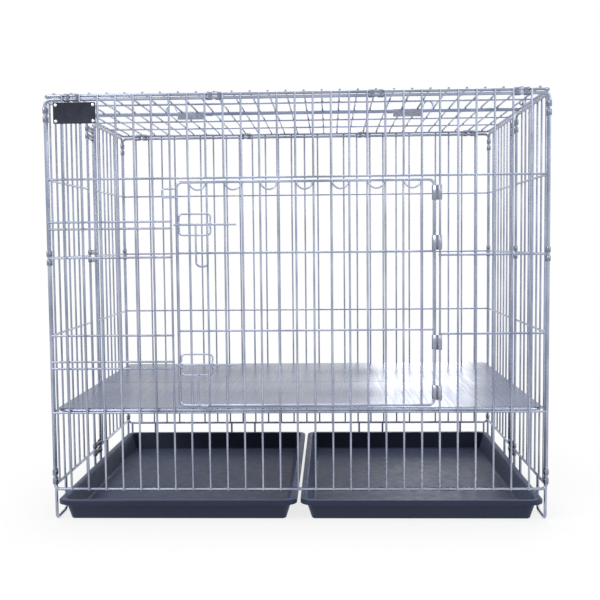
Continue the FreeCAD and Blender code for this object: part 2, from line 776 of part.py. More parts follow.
def side_hook(name, side):
    """A ring tacked on the top's side rail, and a wire hook that turns in it.

    The hook's arm rises, crosses over the side of the crate, drops, and turns back in.
    """
    x = f"{name}_x"
    torus(new_body(f"{name}_hook_eye"), x, "hook_y", "eye_z", "eye_radius", "handle_wire")
    body = new_body(f"{name}_side_hook")
    half = "handle_wire * 1.5"
    front_y = f"hook_y - {half}"
    straight(body, "Y", x, f"hook_y + {half}", "hook_z", f"{half}", "handle_wire")
    root = [("hook_y", "hook_z"), (front_y, "hook_z"), (front_y, "hook_z + hook_up / 2")]
    bend = "handle_wire * 0.8"
    bent(body, SIDE, x, root, bend, "handle_wire", closed=False)
    high = "hook_z + hook_up"
    low = "top_z - frame_wire / 2 - hook_reach"
    far, tip = f"{x} {side} hook_out", f"{x} {side} (hook_out - hook_tip)"
    arm = [(x, "hook_z + hook_up / 2"), (x, high), (far, high), (far, low), (tip, low)]
    bent(body, FRONT, front_y, arm, bend, "handle_wire", closed=False)


# Floor


def floor_frame():
    """A wire frame that rests on the lowest cross wires of the panels."""
    body = new_body("floor_frame")
    outline = rectangle("-(floor_x)", "floor_front_y", "floor_x", "floor_back_y")
    bent(body, FLAT, "floor_z", outline, "floor_bend", "frame_wire")
    length = "floor_back_y - floor_front_y"
    slat_z = "floor_z + frame_wire / 2 - mesh_wire / 2"
    slats = ("X_Axis", "2 * pitch", "columns / 2 - 1")
    slat_x = "left_x + 2 * pitch"
    straight(body, "Y", slat_x, "floor_back_y", slat_z, length, "mesh_wire", slats)
    bearer_z = f"{slat_z} - mesh_step"
    bearers = ("Y_Axis", "panel_depth / bays", "bays - 1")
    first = "front_y + panel_depth / bays"
    straight(
        body, "X", "-(floor_x)", first, bearer_z, "2 * floor_x", "mesh_wire", bearers
    )


def floor_plate(label, low_y, high_y):
    """One of the two steel sheets that lie on the floor frame."""
    body = new_body(label)
    sketch = new_sketch(body, FLAT, z="plate_z")
    edge = "floor_x - plate_margin"
    draw_path(sketch, rectangle(f"-({edge})", low_y, edge, high_y), "frame_bend")
    pad(body, sketch, "plate_thickness")


# Trays


def tray(label, low_x, high_x):
    """A shallow tray: leaning walls, rounded corners, and a lip that turns down at its edge."""
    body = new_body(label)
    low_y = "front_y - tray_front"
    high_y = "back_y - tray_back"
    lean = "atan2(tray_draft; tray_height)"

    def inset(amount):
        return rectangle(
            f"{low_x} + {amount}",
            f"{low_y} + {amount}",
            f"{high_x} - ({amount})",
            f"{high_y} - ({amount})",
        )

    shell = new_sketch(body, FLAT)
    foot = "tray_lip + tray_draft"
    draw_path(shell, inset(foot), "tray_corner - tray_lip - tray_draft / 2")
    pad(body, shell, "tray_height", draft=lean)
    rim = new_sketch(body, FLAT, z="tray_height - tray_wall")
    draw_path(rim, inset("0.0"), "tray_corner")
    pad(body, rim, "tray_wall")
    skirt = new_sketch(body, FLAT, z="tray_height - lip_skirt")
    draw_path(skirt, inset("0.0"), "tray_corner")
    draw_path(skirt, inset("tray_wall"), "tray_corner - tray_wall")
    pad(body, skirt, "lip_skirt - tray_wall / 2")
    hollow = new_sketch(body, FLAT, z="tray_height")
    inner = "tray_lip + tray_wall"
    draw_path(hollow, inset(inner), "tray_corner - tray_lip + tray_draft / 2 - tray_wall")
    cut(body, hollow, "tray_height - tray_wall", draft=f"-{lean}")


# Nameplate


def nameplate():
    body = new_body("nameplate")
    low_x, high_z = "left_x + plate_left", "top_z - plate_drop"
    high_x, low_z = f"{low_x} + plate_width", f"{high_z} - plate_height"
    back_y = "front_mesh_y - mesh_wire / 2 - weld_gap"
    sketch = new_sketch(body, FRONT, y=back_y)
    draw_path(sketch, rectangle(low_x, low_z, high_x, high_z), "rivet_radius")
    pad(body, sketch, "plate_gauge")
    for z in (f"{low_z} + rivet_inset", f"{high_z} - rivet_inset"):
        hole = new_sketch(body, FRONT, f"{low_x} + rivet_inset", f"{back_y} - plate_gauge", z)
        draw_circle(hole, "2 * (rivet_radius + weld_gap / 2)")
        bore = cut(body, hole, "plate_gauge")
        repeat(body, bore, "X_Axis", "plate_width - 2 * rivet_inset", "2")


def nameplate_rivets():
    """Four rivets: a shank through the plate with a flat head on each side of it."""
    body = new_body("nameplate_rivets")
    x = "left_x + plate_left + rivet_inset"
    high_z = "top_z - plate_drop - rivet_inset"
    back_y = "front_mesh_y - mesh_wire / 2 - weld_gap"
    row = ("X_Axis", "plate_width - 2 * rivet_inset", "2")
    gap = "weld_gap / 2"
    shank = f"plate_gauge + 2 * {gap} + head_height"
    for z in (high_z, f"{high_z} - (plate_height - 2 * rivet_inset)"):
        shank_y = f"{back_y} + {gap} + head_height / 2"
        straight(body, "Y", x, shank_y, z, shank, "2 * rivet_radius", row)
        head_y = f"{back_y} - plate_gauge - {gap}"
        straight(body, "Y", x, head_y, z, "head_height", "2 * head_radius", row)
        tail_y = f"{back_y} + {gap} + head_height"
        straight(body, "Y", x, tail_y, z, "head_height", "2 * rivet_radius + head_height", row)


# Assembly

front_panel()
back_panel()
for side, x, outward in (("left", "left_x", "-"), ("right", "right_x", "+")):
    side_panel(f"{side}_side_front", x, "side_front_y", "fold_front_y", outward)
    side_panel(f"{side}_side_rear", x, "fold_back_y", "side_back_y", outward)
    corner_bands(f"{side}_front_corner_bands", x, "front_y", "90")
    corner_bands(f"{side}_rear_corner_bands", x, "back_y", "-90")
    fold_bands(f"{side}_fold_bands", x)

door()
door_scallops()
door_hinges()
door_stop()
for level in ("high", "low"):
    latch_z = f"{level}_latch_z"
    latch_bracket(f"{level}_latch_bracket", latch_z)
    bolt_rod(f"{level}_bolt_rod", latch_z)
    bolt_handle(f"{level}_bolt_handle", latch_z)

lid("top_front_panel", "lid_front_y", "front_lid_edge_y", "front_y + panel_depth / bays", "1")
lid("top_rear_panel", "rear_lid_edge_y", "lid_back_y", "front_y + 3 * panel_depth / bays", "2")
lid_bands("top_front_hinges", "front_y", "90 deg - atan2(pair_lean; pair_spacing)")
lid_bands("top_rear_hinges", "back_y", "90 deg + atan2(pair_lean; pair_spacing)")
for name, side in (("left", "-"), ("right", "+")):
    top_latch_sleeve(f"{name}_top_latch_sleeve", side)
    top_bolt(f"{name}_top_bolt", side)
    top_latch_keeper(f"{name}_top_keeper", side)
    side_hook(name, side)

floor_frame()
seam = "plate_seam / 2"
floor_plate("front_floor_plate", "floor_front_y + plate_margin", f"plane_shift - {seam}")
floor_plate("rear_floor_plate", f"plane_shift + {seam}", "floor_back_y - plate_margin")
tray("left_tray", "left_x + tray_side", "0 - tray_split / 2")
tray("right_tray", "tray_split / 2", "right_x - tray_side")
nameplate()
nameplate_rivets()

doc.recompute()
faults = [item.Name for item in doc.Objects if "Invalid" in item.State or "Error" in item.State]
faults += [body.Name for body in bodies if body.Shape.isNull() or not body.Shape.isValid()]
if faults:
    raise SystemExit("failed: " + ", ".join(faults))
os.makedirs("parts", exist_ok=True)
for body in bodies:
    body.Shape.exportStep(f"parts/{body.Label}.step")
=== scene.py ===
"""A wire dog crate: wire panels, sheet bands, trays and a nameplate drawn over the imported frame.

Pieces with no shape of their own here keep the CAD's shape and only get a material.
"""

import json
import math
import random

import bmesh
import bpy
from mathutils import Matrix, Vector


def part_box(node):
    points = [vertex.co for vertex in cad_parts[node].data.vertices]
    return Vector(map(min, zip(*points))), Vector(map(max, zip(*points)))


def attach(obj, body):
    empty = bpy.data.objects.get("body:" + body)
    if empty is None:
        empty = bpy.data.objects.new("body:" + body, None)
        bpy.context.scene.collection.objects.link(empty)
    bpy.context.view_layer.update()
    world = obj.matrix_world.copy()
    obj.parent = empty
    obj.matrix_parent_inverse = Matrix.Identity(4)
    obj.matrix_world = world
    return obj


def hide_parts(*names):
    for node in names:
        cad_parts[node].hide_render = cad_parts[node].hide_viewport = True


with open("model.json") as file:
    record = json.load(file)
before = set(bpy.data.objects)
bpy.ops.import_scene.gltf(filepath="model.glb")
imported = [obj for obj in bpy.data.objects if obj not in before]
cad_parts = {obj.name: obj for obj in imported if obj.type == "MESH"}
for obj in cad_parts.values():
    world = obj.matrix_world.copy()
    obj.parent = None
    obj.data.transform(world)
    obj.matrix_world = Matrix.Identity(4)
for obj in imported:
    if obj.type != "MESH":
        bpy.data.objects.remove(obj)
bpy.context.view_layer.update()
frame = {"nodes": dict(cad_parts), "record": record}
nodes = frame["nodes"]

# Sizes in metres, as the CAD has them.
MM = 0.001
FRAME_R = 2.75 * MM
MESH_R = 1.9 * MM
DOOR_R = 2.5 * MM
RAIL_R = 2.5 * MM  # the sides' bottom rails
FOOT_R = 2.5 * MM  # the back panel's feet
TIP_RISE = 8.5 * MM
FRAME_BEND = 9 * MM
DOOR_BEND = 10 * MM
FLOOR_BEND = 25 * MM
MESH_STEP = 3.2 * MM  # between the centres of two welded mesh wires
WELD_STEP = 4.05 * MM  # between the centres of a mesh wire and a frame wire
FOOT_WIDTH = 58 * MM
REAR_FOOT_EDGE = 9 * MM
REAR_FOOT_STEP = 250 * MM
SIDE_RISE = 7 * MM  # the sides' bottom rails above the front one
DOOR_CROSS_RISE = 7 * MM  # the door's cross wires above the panel's
COLUMNS = 28
SIDE_COLUMNS = 8
BAYS = 5
DOOR_FIRST, DOOR_LAST = 7, 22
KEEPER_HALF = 6.2 * MM
BAND_WALL = 1 * MM
WAIST = 2.6 * MM  # half of a band's width where it is pressed in between its wires
FOLD_WAIST = 1.7 * MM
DOOR_WAIST = 2.4 * MM
PAIR_LEAN = 1 * MM
PLAY = 0.3 * MM
TRAY_WALL = 2.5 * MM
TRAY_LIP = 9 * MM
TRAY_DRAFT = 12 * MM  # how far the walls lean in from lip to floor
LIP_SKIRT = 8 * MM
TRAY_CORNER = 22 * MM
TRAY_LEAST_BEND = 1 * MM
RIVET_HEAD = 3 * MM
RIVET_SHANK = 1.6 * MM
RIVET_TAIL = 2.2 * MM
WELD_BED = 2.3 * MM  # from a mesh wire's centre to its weld on a frame wire
WELD_SIZE = 2.25 * MM
DOOR_WELD_SIZE = 2.4 * MM
X, Y, Z = Vector((1, 0, 0)), Vector((0, 1, 0)), Vector((0, 0, 1))

# How finely and how evenly things are drawn.
TUBE_SIDES = 14
TURNED_SIDES = 24
BEND_STEPS, TRAY_BEND_STEPS, PROFILE_STEPS, PLATE_STEPS = 7, 8, 4, 5
TIP_CHAMFER = 0.3  # of the wire's radius
TIP_SCALE = 0.72
SWAY = 0.22 * MM  # how far a straight wire strays from its line
SWAY_STEP = 60 * MM
WELD_RINGS, WELD_SIDES = 4, 8
WELD_SQUASH = 0.62
DOOR_WELD_PLACE = 0.9  # of the door frame's radius, from its centre
BAND_EDGE = 0.18 * MM
BAND_TURN_STEPS, BAND_SIDE_STEPS = 10, 9
MERGE_DISTANCE = 1e-6
SHARP_WIRE, SHARP_SHEET = math.radians(40), math.radians(50)


# Mesh code


class Wires:
    """Collects round wires and welds, and makes one object of them."""

    def __init__(self, seed):
        self.vertices = []
        self.faces = []
        self.chance = random.Random(seed)

    def tube(self, points, radius, closed=False):
        """A round wire along a path; an open one has chamfered tips."""
        count, sides = len(points), TUBE_SIDES
        rings = []
        normal = None
        for i, point in enumerate(points):
            before = points[i - 1] if closed or i > 0 else points[i]
            after = points[(i + 1) % count] if closed or i < count - 1 else points[i]
            along = (after - before).normalized()
            if normal is None:
                normal = along.orthogonal().normalized()
            normal = (normal - along * normal.dot(along)).normalized()
            rings.append((point, along, normal.copy(), 1.0))
        if not closed:
            first, last = rings[0], rings[-1]
            chamfer = radius * TIP_CHAMFER
            rings.insert(1, (first[0] + first[1] * chamfer, *first[1:]))
            rings[0] = (*first[:3], TIP_SCALE)
            rings.insert(-1, (last[0] - last[1] * chamfer, *last[1:]))
            rings[-1] = (*last[:3], TIP_SCALE)
        start = len(self.vertices)
        for point, along, normal, scale in rings:
            side = along.cross(normal)
            for k in range(sides):
                angle = 2 * math.pi * k / sides
                offset = (normal * math.cos(angle) + side * math.sin(angle)) * radius * scale
                self.vertices.append(point + offset)
        pairs = len(rings) if closed else len(rings) - 1
        for i in range(pairs):
            low, high = start + i * sides, start + (i + 1) % len(rings) * sides
            for k in range(sides):
                following = (k + 1) % sides
                self.faces.append((low + k, low + following, high + following, high + k))
        if not closed:
            self.faces.append(tuple(start + k for k in reversed(range(sides))))
            end = start + (len(rings) - 1) * sides
            self.faces.append(tuple(end + k for k in range(sides)))

    def straight(self, start, end, radius, sway=X):
        """A straight wire that strays a little from its line, along sway."""
        pieces = max(2, round((end - start).length / SWAY_STEP))
        phase, turns = self.chance.uniform(0, 6.28), self.chance.uniform(0.6, 1.7)
        points = []
        for i in range(pieces + 1):
            share = i / pieces
            bow = math.sin(math.pi * share) * math.sin(turns * math.pi * share + phase)
            points.append(start.lerp(end, share) + sway * bow * SWAY)
        self.tube(points, radius)

    def weld(self, point, normal, size):
        """A small squeezed bead where two wires are welded."""
        turn = normal.to_track_quat("Z", "Y").to_matrix()
        start = len(self.vertices)
        rings, sides = WELD_RINGS, WELD_SIDES
        size = size * self.chance.uniform(0.92, 1.1)
        for i in range(rings + 1):
            tilt = math.pi * (i / rings - 0.5)
            for k in range(sides):
                angle = 2 * math.pi * k / sides
                spot = Vector((math.cos(angle), math.sin(angle), 0)) * math.cos(tilt) * size
                spot.z = math.sin(tilt) * size * WELD_SQUASH
                self.vertices.append(point + turn @ spot)
        for i in range(rings):
            low = start + i * sides
            for k in range(sides):
                following = (k + 1) % sides
                quad = (low + k, low + following, low + sides + following, low + sides + k)
                self.faces.append(quad)

    def welds(self, points, normal, size=WELD_SIZE):
        for point in points:
            self.weld(point, normal, size)

    def make(self, name, body, node, material):
        piece(name, self.vertices, self.faces, body, [node], material)


def piece(name, vertices, faces, body, replaced, material, sharp=SHARP_WIRE):
    """One object on a body, in place of the CAD nodes it replaces."""
    mesh = bpy.data.meshes.new(name)
    mesh.from_pydata([tuple(v) for v in vertices], [], faces)
    shape = bmesh.new()
    shape.from_mesh(mesh)
    bmesh.ops.remove_doubles(shape, verts=shape.verts, dist=MERGE_DISTANCE)
    bmesh.ops.recalc_face_normals(shape, faces=shape.faces)
    for face in shape.faces:
        face.smooth = True
    for edge in shape.edges:
        if len(edge.link_faces) == 2 and edge.calc_face_angle(0) > sharp:
            edge.smooth = False
    shape.to_mesh(mesh)
    shape.free()
    made = bpy.data.objects.new(name, mesh)
    bpy.context.scene.collection.objects.link(made)
    made.data.materials.append(material)
    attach(made, body)
    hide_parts(*replaced)


def slot_of(node):
    """The material slot that the record gives a CAD node."""
    return next(p["material_slot"] for p in frame["record"]["subparts"] if p["node"] == node)


def rounded(corners, bend, closed=True, steps=BEND_STEPS):
    """The corners' path with each one rounded."""
    path = []
    count = len(corners)
    for i, corner in enumerate(corners):
        if not closed and i in (0, count - 1):
            path.append(corner)
            continue
        before = (corners[i - 1] - corner).normalized()
        after = (corners[(i + 1) % count] - corner).normalized()
        middle = corner + (before + after) * bend
        for k in range(steps + 1):
            angle = math.pi / 2 * k / steps
            path.append(middle - after * bend * math.cos(angle) - before * bend * math.sin(angle))
    return path


def upright_loop(left, right, low, high, y):
    """The corners of an upright rectangle that faces the front."""
    return [Vector((x, y, z)) for x, z in ((left, low), (right, low), (right, high), (left, high))]


def level_loop(left, right, near, far, z):
    """The corners of a level rectangle."""
    return [Vector((x, y, z)) for x, y in ((left, near), (right, near), (right, far), (left, far))]


# Materials


def new_material(name):
    """A material, its node tree and shader, and the object's own coordinates."""
    material = bpy.data.materials.new(name)
    material.use_nodes = True
    tree = material.node_tree
    shader = tree.nodes["Principled BSDF"]
    coordinates = tree.nodes.new("ShaderNodeTexCoord")
    return material, tree, shader, coordinates.outputs["Object"]


def noise(tree, place, scale, detail=3.0, stretch=(1, 1, 1)):
    """Cloudy noise, finer along an axis with a larger stretch."""
    mapping = tree.nodes.new("ShaderNodeMapping")
    mapping.inputs["Scale"].default_value = stretch
    tree.links.new(place, mapping.inputs["Vector"])
    texture = tree.nodes.new("ShaderNodeTexNoise")
    texture.inputs["Scale"].default_value = scale
    texture.inputs["Detail"].default_value = detail
    tree.links.new(mapping.outputs["Vector"], texture.inputs["Vector"])
    return texture.outputs["Fac"]


def spread(tree, value, low, high, start=0.3, end=0.7):
    """The value's middle range, mapped to two numbers."""
    span = tree.nodes.new("ShaderNodeMapRange")
    for name, number in (("From Min", start), ("From Max", end), ("To Min", low), ("To Max", high)):
        span.inputs[name].default_value = number
    tree.links.new(value, span.inputs["Value"])
    return span.outputs["Result"]


def ramp(tree, value, *stops):
    """A colour that follows a value, from (position, colour) stops."""
    node = tree.nodes.new("ShaderNodeValToRGB")
    elements = node.color_ramp.elements
    while len(elements) < len(stops):
        elements.new(0.5)
    for element, (position, colour) in zip(elements, stops):
        element.position = position
        element.color = (*colour, 1)
    tree.links.new(value, node.inputs["Fac"])
    return node.outputs["Color"]


def bump(tree, shader, value, distance, strength):
    """Relief of the given depth in the shading."""
    node = tree.nodes.new("ShaderNodeBump")
    node.inputs["Strength"].default_value = strength
    node.inputs["Distance"].default_value = distance
    tree.links.new(value, node.inputs["Height"])
    tree.links.new(node.outputs["Normal"], shader.inputs["Normal"])


def wire_steel(name, tint=1.0):
    """Bright stainless wire: slow changes of polish, small dull spots, and a faint grain."""
    material, tree, shader, place = new_material(name)
    patches = noise(tree, place, 14.0, 4.0)
    low = tuple(c * tint for c in (0.25, 0.28, 0.37))
    high = tuple(c * tint for c in (0.43, 0.47, 0.585))
    tree.links.new(ramp(tree, patches, (0.32, low), (0.66, high)), shader.inputs["Base Color"])
    shader.inputs["Metallic"].default_value = 1.0
    spots = noise(tree, place, 160.0, 2.0)
    tree.links.new(spread(tree, spots, 0.22, 0.33), shader.inputs["Roughness"])
    bump(tree, shader, noise(tree, place, 420.0, 2.0), 0.02 * MM, 0.12)
    return material


def band_steel(name, low, high):
    """Zinc-coated strip: fine spangle, with rubbed and duller patches."""
    material, tree, shader, place = new_material(name)
    spangle = tree.nodes.new("ShaderNodeTexVoronoi")
    spangle.inputs["Scale"].default_value = 260.0
    tree.links.new(place, spangle.inputs["Vector"])
    tone = spread(tree, spangle.outputs["Color"], 0.3, 0.7, 0.0, 1.0)
    tree.links.new(ramp(tree, tone, (0.2, low), (0.8, high)), shader.inputs["Base Color"])
    shader.inputs["Metallic"].default_value = 1.0
    tree.links.new(spread(tree, noise(tree, place, 90.0), 0.26, 0.42), shader.inputs["Roughness"])
    bump(tree, shader, noise(tree, place, 300.0), 0.06 * MM, 0.3)
    return material


def plate_steel():
    """Brushed sheet: fine lines along the depth, slow waves, and paler worn areas."""
    material, tree, shader, place = new_material("plate_steel")
    lines = noise(tree, place, 16.0, 5.0, (22.0, 0.35, 1.0))
    broad = noise(tree, place, 2.6, 3.0, (1.0, 0.7, 1.0))
    mix = tree.nodes.new("ShaderNodeMath")
    mix.operation = "MULTIPLY_ADD"
    mix.inputs[1].default_value = 0.35
    tree.links.new(lines, mix.inputs[0])
    tree.links.new(spread(tree, broad, 0.1, 0.6), mix.inputs[2])
    tree.links.new(
        ramp(tree, mix.outputs[0], (0.25, (0.155, 0.177, 0.25)), (0.8, (0.27, 0.30, 0.395))),
        shader.inputs["Base Color"],
    )
    shader.inputs["Metallic"].default_value = 1.0
    shader.inputs["Anisotropic"].default_value = 0.5
    tree.links.new(spread(tree, lines, 0.24, 0.36), shader.inputs["Roughness"])
    bump(tree, shader, spread(tree, broad, 0.0, 1.0), 1.2 * MM, 0.12)
    return material


def tray_plastic():
    """Dark slate-blue moulded plastic: a fine grain, faint flow marks, and rubbed spots."""
    material, tree, shader, place = new_material("tray_plastic")
    flow = noise(tree, place, 5.0, 4.0, (1.0, 0.5, 1.0))
    tree.links.new(
        ramp(tree, flow, (0.3, (0.016, 0.0205, 0.041)), (0.75, (0.022, 0.0275, 0.052))),
        shader.inputs["Base Color"],
    )
    rubbed = noise(tree, place, 60.0, 4.0)
    tree.links.new(spread(tree, rubbed, 0.36, 0.5), shader.inputs["Roughness"])
    shader.inputs["Specular IOR Level"].default_value = 0.25
    shader.inputs["Specular Tint"].default_value = (0.72, 0.80, 1.0, 1)
    shader.inputs["Sheen Weight"].default_value = 0.6
    shader.inputs["Sheen Roughness"].default_value = 0.4
    shader.inputs["Sheen Tint"].default_value = (0.5, 0.62, 1.0, 1)
    bump(tree, shader, noise(tree, place, 1100.0, 2.0), 0.1 * MM, 0.25)
    return material


def label_plastic():
    """Near-black satin plate with a very fine texture."""
    material, tree, shader, place = new_material("label_plastic")
    cloud = noise(tree, place, 90.0)
    tree.links.new(
        ramp(tree, cloud, (0.3, (0.010, 0.012, 0.022)), (0.7, (0.018, 0.020, 0.034))),
        shader.inputs["Base Color"],
    )
    tree.links.new(spread(tree, cloud, 0.32, 0.44), shader.inputs["Roughness"])
    shader.inputs["Specular IOR Level"].default_value = 0.35
    shader.inputs["Specular Tint"].default_value = (0.8, 0.85, 1.0, 1)
    bump(tree, shader, noise(tree, place, 1500.0, 2.0), 0.05 * MM, 0.3)
    return material


def rivet_metal():
    """Polished rivet heads with fine scratches."""
    material, tree, shader, place = new_material("rivet_metal")
    scratches = noise(tree, place, 400.0, 3.0, (1.0, 1.0, 6.0))
    tree.links.new(
        ramp(tree, scratches, (0.3, (0.66, 0.68, 0.74)), (0.7, (0.82, 0.84, 0.88))),
        shader.inputs["Base Color"],
    )
    shader.inputs["Metallic"].default_value = 1.0
    tree.links.new(spread(tree, scratches, 0.16, 0.28), shader.inputs["Roughness"])
    bump(tree, shader, scratches, 0.02 * MM, 0.2)
    return material


WIRE = wire_steel("wire_steel")
FITTING = wire_steel("fitting_steel", 1.1)
# The bands get two copies of one strip material that differ only in tone. The darker copy is partly
# painted shade, for the bands that stand in shadow; the lighter copy is painted light, for the
# sleeves, keepers and door hinges that catch the lamps.
SHADED_BAND = band_steel("band_steel", (0.17, 0.185, 0.24), (0.28, 0.30, 0.37))
LIT_BAND = band_steel("lit_band_steel", (0.24, 0.26, 0.33), (0.38, 0.40, 0.48))
PLATE = plate_steel()
TRAY = tray_plastic()
LABEL = label_plastic()
RIVET = rivet_metal()

BY_SLOT = {
    "stainless_wire": FITTING,
    "band_sheet": SHADED_BAND,
    "steel_sheet": PLATE,
    "tray_plastic": TRAY,
    "plate_plastic": LABEL,
    "rivet_metal": RIVET,
}
for name, node in nodes.items():
    node.data.materials.clear()
    # Sleeves and keepers take the lighter band copy, a painted highlight.
    bright = "sleeve" in name or "keeper" in name
    node.data.materials.append(LIT_BAND if bright else BY_SLOT[slot_of(name)])


# Where things are

front_low, front_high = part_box("front_panel")
left, right = front_low.x + FRAME_R, front_high.x - FRAME_R
foot, top = front_low.z + FRAME_R, front_high.z - TIP_RISE
pitch = (right - left) / COLUMNS
bay = (top - foot) / BAYS
front_mesh = front_low.y + MESH_R
front_plane = front_mesh + WELD_STEP
front_cross = front_mesh + MESH_STEP
back_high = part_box("back_panel")[1]
back_mesh = back_high.y - MESH_R
back_plane = back_mesh - WELD_STEP
back_cross = back_mesh - MESH_STEP
wire_low, wire_high = foot - MESH_R, top + TIP_RISE
levels = [foot + bay * i for i in range(1, BAYS)]


def column(i):
    """Where the i-th upright wire of the front and back stands."""
    return left + pitch * i


def latch_levels():
    """The heights of the door's two bolts."""
    for name in ("high_bolt_rod", "low_bolt_rod"):
        low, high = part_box(name)
        yield (low.z + high.z) / 2


# Panels


def front_panel():
    """The front's frame and mesh, cut away in the doorway, with the bolts' keeper wires."""
    wires = Wires(11)
    corners = upright_loop(left, right, foot, top, front_plane)
    wires.tube(rounded(corners, FRAME_BEND), FRAME_R, closed=True)
    below, above = levels[0] + MESH_R, levels[-1] - MESH_R
    for i in range(1, COLUMNS):
        x = column(i)
        spans = [(wire_low, wire_high)]
        if DOOR_FIRST < i < DOOR_LAST:
            spans = [(wire_low, below), (above, wire_high)]
        for low, high in spans:
            wires.straight(Vector((x, front_mesh, low)), Vector((x, front_mesh, high)), MESH_R)
        wires.welds([Vector((x, front_mesh + WELD_BED, z)) for z in (foot, top)], Y)
    rows = [(left, right, levels[0]), (left, right, levels[-1])]
    door_left, door_right = column(DOOR_FIRST) + MESH_R, column(DOOR_LAST) - MESH_R
    for z in levels[1:-1]:
        rows += [(left, door_left, z), (door_right, right, z)]
    for z in latch_levels():
        rows += [(left, door_left, z - KEEPER_HALF), (left, door_left, z + KEEPER_HALF)]
    for low, high, z in rows:
        wires.straight(Vector((low, front_cross, z)), Vector((high, front_cross, z)), MESH_R, Z)
        crossed = [column(i) for i in range(1, COLUMNS) if low < column(i) < high]
        wires.welds([Vector((x, front_mesh + MESH_STEP / 2, z)) for x in crossed], Y)
    wires.make("front_wires", "cage", "front_panel", WIRE)


def back_panel():
    """The back's frame and mesh, with four feet under it."""
    wires = Wires(12)
    corners = upright_loop(left, right, foot, top, back_plane)
    wires.tube(rounded(corners, FRAME_BEND), FRAME_R, closed=True)
    for i in range(1, COLUMNS):
        x = column(i)
        wires.straight(Vector((x, back_mesh, wire_low)), Vector((x, back_mesh, wire_high)), MESH_R)
        wires.welds([Vector((x, back_mesh - WELD_BED, z)) for z in (foot, top)], Y)
        wires.welds([Vector((x, back_mesh - MESH_STEP / 2, z)) for z in levels], Y)
    for z in levels:
        wires.straight(Vector((left, back_cross, z)), Vector((right, back_cross, z)), MESH_R, Z)
    outer = left + REAR_FOOT_EDGE
    inner = outer + REAR_FOOT_STEP
    for x in (outer, inner, -inner - FOOT_WIDTH, -outer - FOOT_WIDTH):
        path = [
            Vector((x, back_plane, foot)),
            Vector((x, back_plane, FOOT_R)),
            Vector((x + FOOT_WIDTH, back_plane, FOOT_R)),
            Vector((x + FOOT_WIDTH, back_plane, foot)),
        ]
        wires.tube(rounded(path, FRAME_BEND, closed=False), FOOT_R)
    wires.make("back_wires", "cage", "back_panel", WIRE)


def side_panel(node, seed):
    """Half a side: a post at each end that turns under into a foot, rails, and its mesh."""
    low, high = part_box(node)
    outward = 1 if low.x > 0 else -1
    plane = (high.x - MESH_R if outward > 0 else low.x + MESH_R) - outward * WELD_STEP
    mesh = plane + outward * WELD_STEP
    cross = mesh - outward * MESH_STEP
    near, far = low.y + FRAME_R, high.y - FRAME_R
    rail = foot + SIDE_RISE
    path = [
        Vector((plane, near + FOOT_WIDTH, rail)),
        Vector((plane, near + FOOT_WIDTH, FRAME_R)),
        Vector((plane, near, FRAME_R)),
        Vector((plane, near, top)),
        Vector((plane, far, top)),
        Vector((plane, far, FRAME_R)),
        Vector((plane, far - FOOT_WIDTH, FRAME_R)),
        Vector((plane, far - FOOT_WIDTH, rail)),
    ]
    wires = Wires(seed)
    wires.tube(rounded(path, FRAME_BEND, closed=False), FRAME_R)
    wires.straight(Vector((plane, near, rail)), Vector((plane, far, rail)), RAIL_R, Z)
    step = (far - near) / SIDE_COLUMNS
    for i in range(1, SIDE_COLUMNS):
        y = near + step * i
        ends = [Vector((mesh, y, z)) for z in (rail - MESH_R, top + MESH_R)]
        wires.straight(*ends, MESH_R, Y)
        wires.welds([Vector((mesh - outward * WELD_BED, y, z)) for z in (rail, top)], X)
        wires.welds([Vector((mesh - outward * MESH_STEP / 2, y, z)) for z in levels], X)
    for z in levels:
        wires.straight(Vector((cross, near, z)), Vector((cross, far, z)), MESH_R, Z)
    wires.make(node.replace("side", "wires"), "cage", node, WIRE)


def lid(node, body, cross_shares, seed):
    """Half of the top: a frame, long wires across, and short ones over them."""
    low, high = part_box(node)
    mesh = high.z - MESH_R
    plane = mesh - WELD_STEP
    cross = mesh - MESH_STEP
    overhang = MESH_R / 2
    near, far = low.y + FRAME_R, high.y - FRAME_R
    wires = Wires(seed)
    corners = level_loop(left, right, near, far, plane)
    wires.tube(rounded(corners, FRAME_BEND), FRAME_R, closed=True)
    rows = [front_plane + (back_plane - front_plane) * share / BAYS for share in cross_shares]
    for i in range(COLUMNS):
        x = left + pitch * (i + 0.5)
        ends = [Vector((x, y, mesh)) for y in (near - overhang, far + overhang)]
        wires.straight(*ends, MESH_R)
        wires.welds([Vector((x, y, mesh - WELD_BED)) for y in (near, far)], Z)
        wires.welds([Vector((x, y, mesh - MESH_STEP / 2)) for y in rows], Z)
    for y in rows:
        wires.straight(Vector((left, y, cross)), Vector((right, y, cross)), MESH_R, Y)
    wires.make(node.replace("panel", "wires"), body, node, WIRE)


def door():
    """The door's frame, its upright wires, and the cross wires behind them."""
    low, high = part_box("door")
    plane = low.y + DOOR_R
    near, far = low.x + DOOR_R, high.x - DOOR_R
    floor, head = low.z + DOOR_R, high.z - DOOR_R
    wires = Wires(31)
    corners = upright_loop(near, far, floor, head, plane)
    wires.tube(rounded(corners, DOOR_BEND), DOOR_R, closed=True)
    rows = [z + DOOR_CROSS_RISE for z in levels[1:-1]]
    for i in range(DOOR_FIRST + 1, DOOR_LAST):
        x = column(i)
        ends = [Vector((x, plane, z)) for z in (floor, head)]
        wires.straight(*ends, MESH_R)
        wires.welds([Vector((x, plane + MESH_STEP / 2, z)) for z in rows], Y)
        joints = (floor + DOOR_R * DOOR_WELD_PLACE, head - DOOR_R * DOOR_WELD_PLACE)
        wires.welds([Vector((x, plane, z)) for z in joints], Z, DOOR_WELD_SIZE)
    for z in rows:
        ends = [Vector((x, plane + MESH_STEP, z)) for x in (near, far)]
        wires.straight(*ends, MESH_R, Z)
    wires.make("door_wires", "door_leaf", "door", FITTING)


